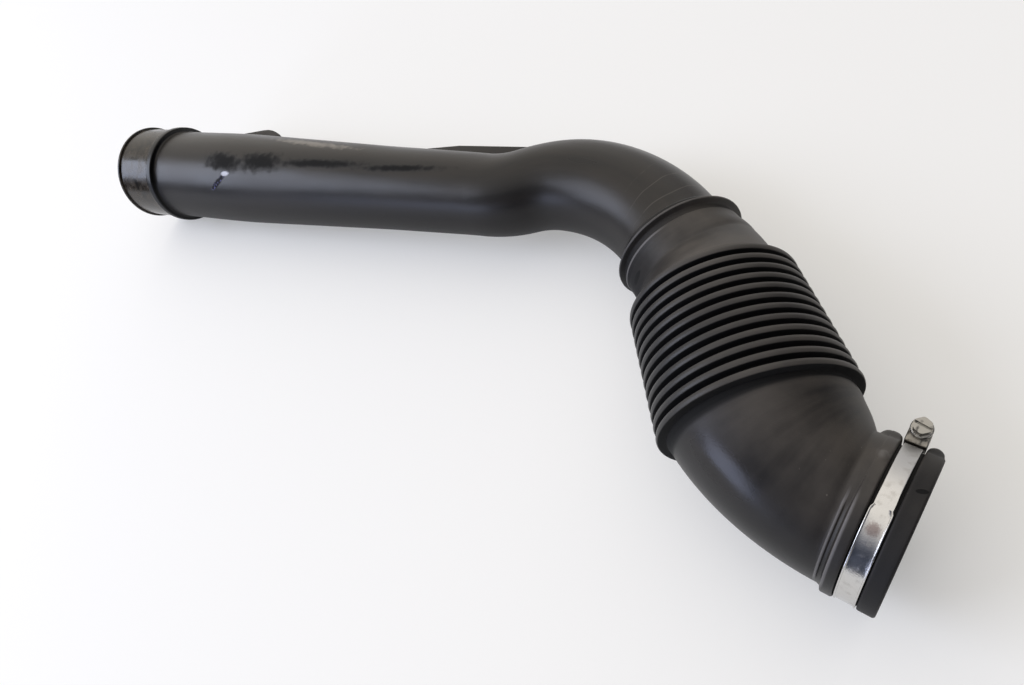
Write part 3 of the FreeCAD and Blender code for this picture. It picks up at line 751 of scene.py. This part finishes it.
for x, r in rounded([
    (CUFF_START, CUFF_BORE, 0),
    (CUFF_START, 34.6, 0.3),
    (CUFF_START + 0.5, CUFF_LIP_RADIUS, 0.5),
    (CUFF_START + 1.8, CUFF_LIP_RADIUS, 0.5),
    (CUFF_START + 2.8, CUFF_RADIUS - 0.6, 1.0),
    (CUFF_START + 6.6, CUFF_RADIUS - 0.6, 0.9),
    (CUFF_START + 7.2, 36.9, 0.5),
    (CUFF_START + 8.4, 36.7, 0.8),
    (CUFF_START + 10.4, 36.0, 2.0),
    (CUFF_END, CUFF_RADIUS, 0),
], step=1.5):
    # Painted shade in the channel behind the lip and at the lip's foot; painted highlights, below nought,
    # on the lip's crest and the bead.
    shade = 0.6 * eased(2.0 * (1.0 - abs(x - CUFF_START - 4.7) / 2.2))
    shade = max(shade, 0.95 if r < CUFF_LIP_RADIUS - 0.4 and x < CUFF_START + 0.7 else 0.0)
    if r > CUFF_LIP_RADIUS - 0.3 or (CUFF_START + 7.0 < x < CUFF_START + 8.4 and r > 36.5):
        shade = -0.4 if x < CUFF_START + 4.0 else -0.8 * CUFF_BEADED
    raised = max(r - CUFF_RADIUS - 0.3, 0.0) if x > CUFF_START + 4.0 else 0.0
    fill = CUFF_FILL * eased((x - CUFF_START - 7.0) / 14.0)
    reach = r - raised * (1.0 - CUFF_BEADED) + fill
    boot_ring(PIPE_END @ shift(x), reach, x, painted_shade_and_highlight=0.9 * shade)
NECK_STEPS = 24
for k in range(1, NECK_STEPS):
    share = k / NECK_STEPS
    # Where the neck dips into the first rib, the crease gets painted shade.
    dip = eased((share - 0.84) / 0.16)
    r = CUFF_RADIUS + (ROOT_RADIUS - CUFF_RADIUS) * share * (0.8 + 0.2 * share) - 1.2 * dip
    filled = r + CUFF_FILL * (1.0 - eased(share))
    boot_ring(neck_frame(share), filled, CUFF_END + NECK_LENGTH * share, painted_shade_and_highlight=eased(dip * 1.6))
# Each rib: a groove, a steep wall, a crest and the same again.
HALF_RIB = (0.0, 0.07, 0.13, 0.16, 0.18, 0.20, 0.22, 0.24, 0.26, 0.29, 0.33, 0.41)
RIB_PLACES = [*HALF_RIB, 0.5, *[1 - p for p in reversed(HALF_RIB[1:])]]
BELLOWS_ALONG = CUFF_END + NECK_LENGTH


def bellows_rings(places, inset, depth_share):
    """Adds rings along the bellows, at places counted in ribs."""
    for phase in places:
        wave = abs(math.sin(math.pi * phase))
        wall = eased((wave - 0.45) / 0.30)
        r = ROOT_RADIUS + max(0.0, phase - 0.5) * RIB_GROWTH - inset
        x = phase * RIB_PITCH
        rise = (0.92 * wall + 0.08 * wave ** 6) * depth_share
        # Each groove, below its walls, gets painted shade.
        boot_ring(NECK_END @ shift(x), r, BELLOWS_ALONG + x, rise, min(max(0.98 - wall, 0.0) / 0.1, 1.0))


bellows_rings([rib + p for rib in range(RIB_COUNT) for p in RIB_PLACES] + [RIB_COUNT], 0.0, 1.0)
ELBOW_ALONG = BELLOWS_ALONG + RIB_COUNT * RIB_PITCH
ELBOW_STEPS = 40
ELBOW_RUN = 62.0
for k in range(1, ELBOW_STEPS):
    share = k / ELBOW_STEPS
    filled = elbow_radius(share) + NECK_FILL * eased((share - 0.4) / 0.6)
    # Painted shade under the last rib, where the elbow begins.
    dark = eased((0.085 - share) / 0.05)
    boot_ring(elbow_frame(share), filled, ELBOW_ALONG + ELBOW_RUN * share, painted_shade_and_highlight=dark)
MOUTH_ALONG = ELBOW_ALONG + ELBOW_RUN + MOUTH_START
for x, r in rounded([
    (-MOUTH_START, MOUTH_NECK_RADIUS, 0),
    (-MOUTH_START + 1.0, MOUTH_NECK_RADIUS, 0.3),
    (-MOUTH_START + 1.6, MOUTH_NECK_RADIUS + 0.9, 0.4),
    (-MOUTH_START + 2.3, MOUTH_NECK_RADIUS + 0.9, 0.4),
    (-MOUTH_START + 2.9, MOUTH_NECK_RADIUS + 0.1, 0.4),
    (-RIDGE_START + 1.4, MOUTH_NECK_RADIUS + 0.6, 0.8),
    (-RIDGE_START + 2.2, RIDGE_RADIUS, 0.9),
    (-GROOVE_START, RIDGE_RADIUS, 0.9),
    (-GROOVE_START, GROOVE_RADIUS, 0.3),
    (-LIP_WIDTH, GROOVE_RADIUS, 0.3),
    (-LIP_WIDTH, LIP_RADIUS, 0.9),
    (0.0, LIP_RADIUS, 1.3),
    (0.0, MOUTH_BORE, 0.8),
    (-MOUTH_START, MOUTH_BORE, 0),
], step=1.2):
    standing = r > GROOVE_RADIUS + 0.5
    # Painted shade in the channel under the clamp; painted highlights, below nought, on the beads and the
    # ridge's edge.
    dark = 0.9 if -GROOVE_START < x < -LIP_WIDTH and not standing and r > MOUTH_BORE + 1 else 0.0
    reach = r + (mouth_lift(x) if standing else 0.0)
    if x < -RIDGE_START + 3.0 and r > MOUTH_BORE + 1:
        on_bead = r > MOUTH_NECK_RADIUS + 0.6 and (x < -RIDGE_START or r > RIDGE_RADIUS - 0.5)
        low = np.where(x < -RIDGE_START, MOUTH_NECK_RADIUS + (r - MOUTH_NECK_RADIUS) * BEADED, r)
        reach = np.maximum(low, np.minimum(MOUTH_NECK_RADIUS + NECK_FILL, RIDGE_RADIUS)) + mouth_lift(x)
        dark = -0.75 * BEADED if on_bead else 0.0
    boot_ring(MOUTH @ shift(x), reach, MOUTH_ALONG + x, painted_shade_and_highlight=dark)
for k in range(ELBOW_STEPS // 2 - 1, 0, -1):
    share = 2 * k / ELBOW_STEPS
    boot_ring(elbow_frame(share), elbow_radius(share) - BOOT_WALL, ELBOW_ALONG + ELBOW_RUN * share)
bellows_rings([k / 5 for k in range(RIB_COUNT * 5, -1, -1)], RIB_WALL, 0.4)
for k in range(NECK_STEPS - 1, 0, -2):
    share = k / NECK_STEPS
    r = CUFF_BORE + (ROOT_RADIUS - RIB_WALL - CUFF_BORE) * eased(share)
    boot_ring(neck_frame(share), r, CUFF_END + NECK_LENGTH * share)
boot_ring(PIPE_END @ shift(CUFF_END), CUFF_BORE, CUFF_END)
boot = skinned("bellows_boot_wall", boot_rings, boot_along)
middles = [points.mean(axis=0) for points in boot_rings]
outward = np.concatenate([points - middle for points, middle in zip(boot_rings, middles)])
outward /= np.linalg.norm(outward, axis=1)[:, None]
boot.data.attributes.new("outward", "FLOAT_VECTOR", "POINT").data.foreach_set("vector", outward.ravel())
point_values = {"rib_height": np.repeat(rib_height, BOOT_SEGMENTS), "painted_shade_and_highlight": np.concatenate(painted_shade_and_highlight_rings)}
for name, values in point_values.items():
    boot.data.attributes.new(name, "FLOAT", "POINT").data.foreach_set("value", values)


def settled(piece):
    """Makes what a piece's modifiers show into its own plain mesh."""
    made = bpy.data.meshes.new_from_object(piece.evaluated_get(bpy.context.evaluated_depsgraph_get()))
    piece.modifiers.clear()
    piece.data = made


def finished(piece, tree, inputs):
    """Makes a piece into the plain mesh that a node tree gives, with the tree's named inputs set."""
    maker = piece.modifiers.new(tree.name, "NODES")
    maker.node_group = tree
    for socket in tree.interface.items_tree:
        if socket.in_out == "INPUT" and socket.name in inputs:
            maker[socket.identifier] = inputs[socket.name]
    settled(piece)


def new_tree(name, sockets):
    """A node tree with named inputs besides its geometry."""
    tree = bpy.data.node_groups.new(name, "GeometryNodeTree")
    tree.interface.new_socket("Geometry", in_out="INPUT", socket_type="NodeSocketGeometry")
    for label, kind in sockets:
        tree.interface.new_socket(label, in_out="INPUT", socket_type=f"NodeSocket{kind}")
    tree.interface.new_socket("Geometry", in_out="OUTPUT", socket_type="NodeSocketGeometry")
    return tree, add(tree, "NodeGroupInput").outputs


def close_tree(tree, geometry, material):
    """Ends a node tree with plain geometry of one material."""
    whole = add(tree, "GeometryNodeRealizeInstances", {"Geometry": geometry})
    dressed = add(tree, "GeometryNodeSetMaterial", {"Geometry": whole.outputs[0], "Material": material})
    add(tree, "NodeGroupOutput", {"Geometry": dressed.outputs[0]})


# Convolutions: each point of the bellows moves outwards by its rib's height there, so that the
# ribs have broad crests with narrow deep grooves between them.
ribs, given = new_tree("bellows_ribs", (("Rib depth", "Float"), ("Rubber", "Material")))
rise = add(ribs, "GeometryNodeInputNamedAttribute", {"Name": "rib_height"}, data_type="FLOAT")
radial = add(ribs, "GeometryNodeInputNamedAttribute", {"Name": "outward"}, data_type="FLOAT_VECTOR")
height = add(ribs, "ShaderNodeMath", {0: rise.outputs[0], 1: given["Rib depth"]}, operation="MULTIPLY")
offset = add(ribs, "ShaderNodeVectorMath", {
    0: radial.outputs[0], "Scale": height.outputs[0],
}, operation="SCALE")
ribbed = add(ribs, "GeometryNodeSetPosition", {"Geometry": given["Geometry"], "Offset": offset.outputs[0]})
close_tree(ribs, ribbed.outputs[0], given["Rubber"])
finished(boot, ribs, {"Rib depth": RIB_DEPTH * MM, "Rubber": boot_rubber})
carry(boot, "intake", boot_rubber, "bellows_boot")

# Clamp band: a strip with rolled edges, and its tail lying between them
BAND_SEGMENTS = 180
band_section = rounded([
    (0.0, BAND_INSIDE, 0),
    (-HALF_BAND, BAND_INSIDE, 0.3),
    (-HALF_BAND, BAND_EDGE, 0.38),
    (-HALF_BAND + 0.8, BAND_EDGE, 0.38),
    (-HALF_BAND + 0.8, BAND_FACE, 0.12),
    (HALF_BAND - 0.8, BAND_FACE, 0.12),
    (HALF_BAND - 0.8, BAND_EDGE, 0.38),
    (HALF_BAND, BAND_EDGE, 0.38),
    (HALF_BAND, BAND_INSIDE, 0.3),
    (0.0, BAND_INSIDE, 0),
], step=1.6)[:-1]


def strip_ring(section, angle):
    """Points of a strip's cross-section at an angle round the clamp, in degrees."""
    spun = CLAMP @ turn("X", angle)
    return np.array([(spun @ np.array([x, r, 0.0, 1.0]))[:3] for x, r in section])


band_rings = []
band_places = np.arange(BAND_SEGMENTS) * 360.0 / BAND_SEGMENTS
for angle in band_places:
    # Under the tail the strip is narrower and has no rolled edge.
    under = max(eased((TAIL_ANGLE + 1.0 - angle) / 4.0), eased((angle - 340.0) / 4.0))
    half = HALF_BAND - 0.9 * under
    edge = BAND_EDGE - (BAND_EDGE - BAND_FACE) * under
    lowered = (edge - BAND_INSIDE) / (BAND_EDGE - BAND_INSIDE)
    section = [
        (x * half / HALF_BAND, BAND_INSIDE + (r - BAND_INSIDE) * lowered if r > BAND_FACE else r)
        for x, r in band_section
    ]
    band_rings.append(strip_ring(section, angle))
band = skinned("clamp_strip", band_rings, list(band_places))
carry(band, "intake", band_steel, "clamp_band")
tail_section = rounded([
    (0.0, BAND_FACE + 0.02, 0),
    (-HALF_TAIL, BAND_FACE + 0.02, 0.15),
    (-HALF_TAIL, TAIL_FACE, 0.25),
    (HALF_TAIL, TAIL_FACE, 0.25),
    (HALF_TAIL, BAND_FACE + 0.02, 0.15),
    (0.0, BAND_FACE + 0.02, 0),
], step=1.2)[:-1]
tail_rings = []
tail_places = np.arange(-8.0, TAIL_ANGLE + 0.1, 2.0)
for angle in tail_places:
    drop = 0.75 * eased((angle - TAIL_ANGLE + 14.0) / 14.0)
    tail_rings.append(strip_ring([(x, min(r, TAIL_FACE - drop)) for x, r in tail_section], angle))
tail = skinned("clamp_tail", tail_rings, tail_places, "capped")
carry(tail, "intake", band_steel, crisp=True)

# Clamp housing: a pressed arch over the worm, with feet that hold the band's edges
HOUSING_SEGMENTS = 120
FOOT_EDGE = BASE_FACE + 1.4
ARCH_START = WORM_AXIS - 1.0


def housing_reach(inset):
    """Reach from the worm's axis to the housing's outside, for each way round it."""
    corners = np.array([
        (-HALF_HOUSING, BASE_FACE),
        (HALF_HOUSING, BASE_FACE),
        (HALF_HOUSING, FOOT_EDGE),
        (ARCH_RADIUS, ARCH_START),
        (ARCH_RADIUS, WORM_AXIS),
        (-ARCH_RADIUS, WORM_AXIS),
        (-ARCH_RADIUS, ARCH_START),
        (-HALF_HOUSING, FOOT_EDGE),
    ]) - (0, WORM_AXIS)
    edges = list(zip(corners, np.roll(corners, -1, axis=0)))
    reach = np.full(HOUSING_SEGMENTS, ARCH_RADIUS)
    for i, angle in enumerate(way_round(HOUSING_SEGMENTS)):
        ray = np.array((-math.sin(angle), math.cos(angle)))
        for a, b in edges:
            span = b - a
            cross = ray[0] * span[1] - ray[1] * span[0]
            if abs(cross) < 1e-9:
                continue
            far = (a[0] * span[1] - a[1] * span[0]) / cross
            along = (a[0] * ray[1] - a[1] * ray[0]) / cross
            if far > 0 and -1e-6 <= along <= 1 + 1e-6:
                reach[i] = max(reach[i] if ray[1] >= 0 else 0.0, far)
    return reach - inset


housing_outside = [
    (-HALF_TUNNEL, 0.6),
    (-HALF_TUNNEL + 0.2, 0.2),
    (-HALF_TUNNEL + 0.6, 0.0),
    (0.0, 0.0),
    (HALF_TUNNEL - 0.6, 0.0),
    (HALF_TUNNEL - 0.2, 0.2),
    (HALF_TUNNEL, 0.6),
]
housing_tunnel = [
    (HALF_TUNNEL, TUNNEL_RADIUS + 0.25),
    (HALF_TUNNEL - 0.3, TUNNEL_RADIUS),
    (-HALF_TUNNEL + 0.3, TUNNEL_RADIUS),
    (-HALF_TUNNEL, TUNNEL_RADIUS + 0.25),
]
housing_rows = [(x, housing_reach(inset)) for x, inset in housing_outside] + housing_tunnel
housing = turned("clamp_saddle", WORM, housing_rows, HOUSING_SEGMENTS)
carry(housing, "intake", dull_steel["housing_steel"], "clamp_housing", crisp=True)

# Clamp screw: worm with its thread, collar and slotted hexagon head
HEAD_SEGMENTS = 120
HEAD_WAYS = way_round(HEAD_SEGMENTS) + math.pi / 2 - math.radians(HEAD_ANGLE)
HEXAGON = HEAD_FLATS / 2 / np.cos((HEAD_WAYS % (math.pi / 3)) - math.pi / 6)
HEAD_CORNER = HEAD_FLATS / math.sqrt(3)
screw_rows = rounded([
    (-HALF_TUNNEL - 1.5, 0.05, 0),
    (-HALF_TUNNEL - 1.5, WORM_RADIUS - 0.6, 0.5),
    (COLLAR_FACE, WORM_RADIUS - 0.6, 0.1),
    (COLLAR_FACE, HEAD_COLLAR_RADIUS, 0.5),
    (HEAD_FACE, HEAD_COLLAR_RADIUS, 0.7),
    (HEAD_FACE, HEAD_FLATS / 2 + 0.6, 0),
], step=1.0)
for x, most in (
    (HEAD_FACE + 0.05, HEAD_CORNER),
    (HEAD_FACE + 2.0, HEAD_CORNER),
    (HEAD_END - 0.5, HEAD_CORNER),
    (HEAD_END, HEAD_CORNER - 0.3),
    (HEAD_END + 0.02, 1.6),
    (HEAD_END + 0.02, 0.05),
):
    screw_rows.append((x, np.minimum(HEXAGON, most)))
screw = turned("clamp_screw_head", WORM, screw_rows, HEAD_SEGMENTS, "capped")
half_slot = SLOT_WIDTH / 2
slot_frame = CLAMP @ shift(0.0, WORM_AXIS, HEAD_END) @ turn("Z", SLOT_ANGLE)
slot_outline = (
    (-HALF_SLOT_LENGTH, -half_slot),
    (HALF_SLOT_LENGTH, -half_slot),
    (HALF_SLOT_LENGTH, half_slot),
    (-HALF_SLOT_LENGTH, half_slot),
)
slot_corners = [(x, y, z, 1.0) for z in (-SLOT_DEPTH, 1.0) for x, y in slot_outline]
slot_points = [(slot_frame @ np.array(corner))[:3] for corner in slot_corners]
cutter = solid("slot_cutter", slot_points, [
    (3, 2, 1, 0), (4, 5, 6, 7), (0, 1, 5, 4), (1, 2, 6, 5), (2, 3, 7, 6), (3, 0, 4, 7),
])
cut = screw.modifiers.new("slot", "BOOLEAN")
cut.operation = "DIFFERENCE"
cut.object = cutter
cut.solver = "EXACT"
settled(screw)
bpy.data.objects.remove(cutter)
carry(screw, "clamp_screw", dull_steel["screw_steel"], "clamp_screw", crisp=True)

# Thread of the worm: a wire wound along it at the pitch of the strip's slots.
thread, given = new_tree("worm_thread", (
    ("Turns", "Float"),
    ("Pitch", "Float"),
    ("Wire radius", "Float"),
    ("Winding radius", "Float"),
    ("Steel", "Material"),
))
rise = add(thread, "ShaderNodeMath", {0: given["Turns"], 1: given["Pitch"]}, operation="MULTIPLY")
winding = add(thread, "GeometryNodeCurveSpiral", {
    "Resolution": 32, "Rotations": given["Turns"], "Start Radius": given["Winding radius"],
    "End Radius": given["Winding radius"], "Height": rise.outputs[0],
})
wire = add(thread, "GeometryNodeCurvePrimitiveCircle", {"Resolution": 8, "Radius": given["Wire radius"]})
wound = add(thread, "GeometryNodeCurveToMesh", {
    "Curve": winding.outputs[0], "Profile Curve": wire.outputs[0], "Fill Caps": True,
})
close_tree(thread, wound.outputs[0], given["Steel"])
THREAD_PITCH = 2.1
THREAD_TURNS = 8.0
# The wound wire takes the place of this first triangle.
worm = solid("worm_thread", [(0, 0, 0), (1, 0, 0), (0, 1, 0)], [(0, 1, 2)])
finished(worm, thread, {
    "Turns": THREAD_TURNS, "Pitch": THREAD_PITCH * MM, "Wire radius": 0.55 * MM,
    "Winding radius": (WORM_RADIUS - 0.6) * MM, "Steel": dull_steel["screw_steel"],
})
thread_start = CLAMP @ shift(0.0, WORM_AXIS, -HALF_TUNNEL - 0.9)
thread_start[:3, 3] *= MM
worm.data.transform(Matrix(thread_start))
worm.data.polygons.foreach_set("use_smooth", [True] * len(worm.data.polygons))
carry(worm, "clamp_screw", dull_steel["screw_steel"])

# Floor: white paint, whose brightness in the picture is part its own, so that shadows stay pale
floor_paint, tree, shader = new_material("table_painted_white")
shader.inputs["Base Color"].default_value = colour("#f9f8f5")
shader.inputs["Roughness"].default_value = 0.75
shader.inputs["Specular IOR Level"].default_value = 0.2
seen = add(tree, "ShaderNodeLightPath").outputs
shown = seen["Is Camera Ray"]
for ray in ("Is Glossy Ray", "Is Transmission Ray"):
    shown = add(tree, "ShaderNodeMath", {0: shown, 1: seen[ray]}, operation="MAXIMUM").outputs[0]
white = add(tree, "ShaderNodeEmission", {"Color": colour("#fbfaf7"), "Strength": 1.0})
paleness = add(tree, "ShaderNodeMath", {0: shown, 1: 0.30}, operation="MULTIPLY").outputs[0]
mixed = add(tree, "ShaderNodeMixShader", {0: paleness, 1: shader.outputs[0], 2: white.outputs[0]})
tree.links.new(mixed.outputs[0], tree.nodes["Material Output"].inputs["Surface"])
floor_mesh = bpy.data.meshes.new("floor")
floor_mesh.from_pydata([(-4, -4, 0), (4, -4, 0), (4, 4, 0), (-4, 4, 0)], [], [(0, 1, 2, 3)])
floor_mesh.materials.append(floor_paint)
floor = bpy.data.objects.new("floor", floor_mesh)
bpy.context.scene.collection.objects.link(floor)

# Camera: the photograph's place and angle
PICTURE_WIDTH = 1024
FOCAL_PIXELS = 720
camera = bpy.data.cameras.new("camera")
camera.sensor_width = 36.0
camera.lens = FOCAL_PIXELS / PICTURE_WIDTH * camera.sensor_width
camera.clip_start = 0.01
eye = bpy.data.objects.new("camera", camera)
right = np.array((0.88590609, 0.32273039, -0.33318989))
up = np.array((-0.15018721, 0.87916215, 0.45223634))
look = np.array((-0.43887835, 0.35059807, -0.82732508))
pose = np.eye(4)
pose[:3, 0], pose[:3, 1], pose[:3, 2] = right, up, -look
pose[:3, 3] = np.array((268.80, -177.87, 389.68)) * MM
eye.matrix_world = Matrix(pose)
bpy.context.scene.collection.objects.link(eye)
bpy.context.scene.camera = eye

# Light: pale walls and ceiling behind and to the left, a dim room in front, a tall window on the left
# and a low one that the boot's elbow mirrors
world = bpy.data.worlds.new("room")
world.use_nodes = True
tree = world.node_tree
facing = add(tree, "ShaderNodeVectorMath", {
    0: add(tree, "ShaderNodeTexCoord").outputs["Generated"], 1: (-0.45, 0.45, 0.77),
}, operation="DOT_PRODUCT").outputs["Value"]
wall = add(tree, "ShaderNodeMapRange", {
    "Value": facing, "From Min": 0.05, "From Max": 0.82,
}, interpolation_type="SMOOTHSTEP").outputs[0]
tone = add(tree, "ShaderNodeMix", {0: wall, 6: colour("#8e98b4"), 7: colour("#fffaf3")}, data_type="RGBA")
brightness = add(tree, "ShaderNodeMix", {0: wall, 2: 0.16, 3: 1.20})
room = tree.nodes["Background"]
tree.links.new(tone.outputs[2], room.inputs["Color"])
tree.links.new(brightness.outputs[0], room.inputs["Strength"])
bpy.context.scene.world = world
for name, place, width, height, power, tone in (
    ("window", (-1.80, -0.80, 1.37), 1.44, 1.44, 35.0, "#dfe8ff"),
    ("low_window", (-1.01, -1.89, 0.46), 0.85, 0.85, 10.5, "#d5dfff"),
):
    lamp = bpy.data.lights.new(name, "AREA")
    lamp.shape = "RECTANGLE"
    lamp.size = width
    lamp.size_y = height
    lamp.energy = power
    lamp.color = colour(tone)[:3]
    lamp_object = bpy.data.objects.new(name, lamp)
    place = Matrix.Translation(place)
    aim = (Matrix.Identity(4).translation - place.translation).to_track_quat("-Z", "Y")
    lamp_object.matrix_world = place @ aim.to_matrix().to_4x4()
    bpy.context.scene.collection.objects.link(lamp_object)

bpy.context.scene.view_settings.view_transform = "Standard"
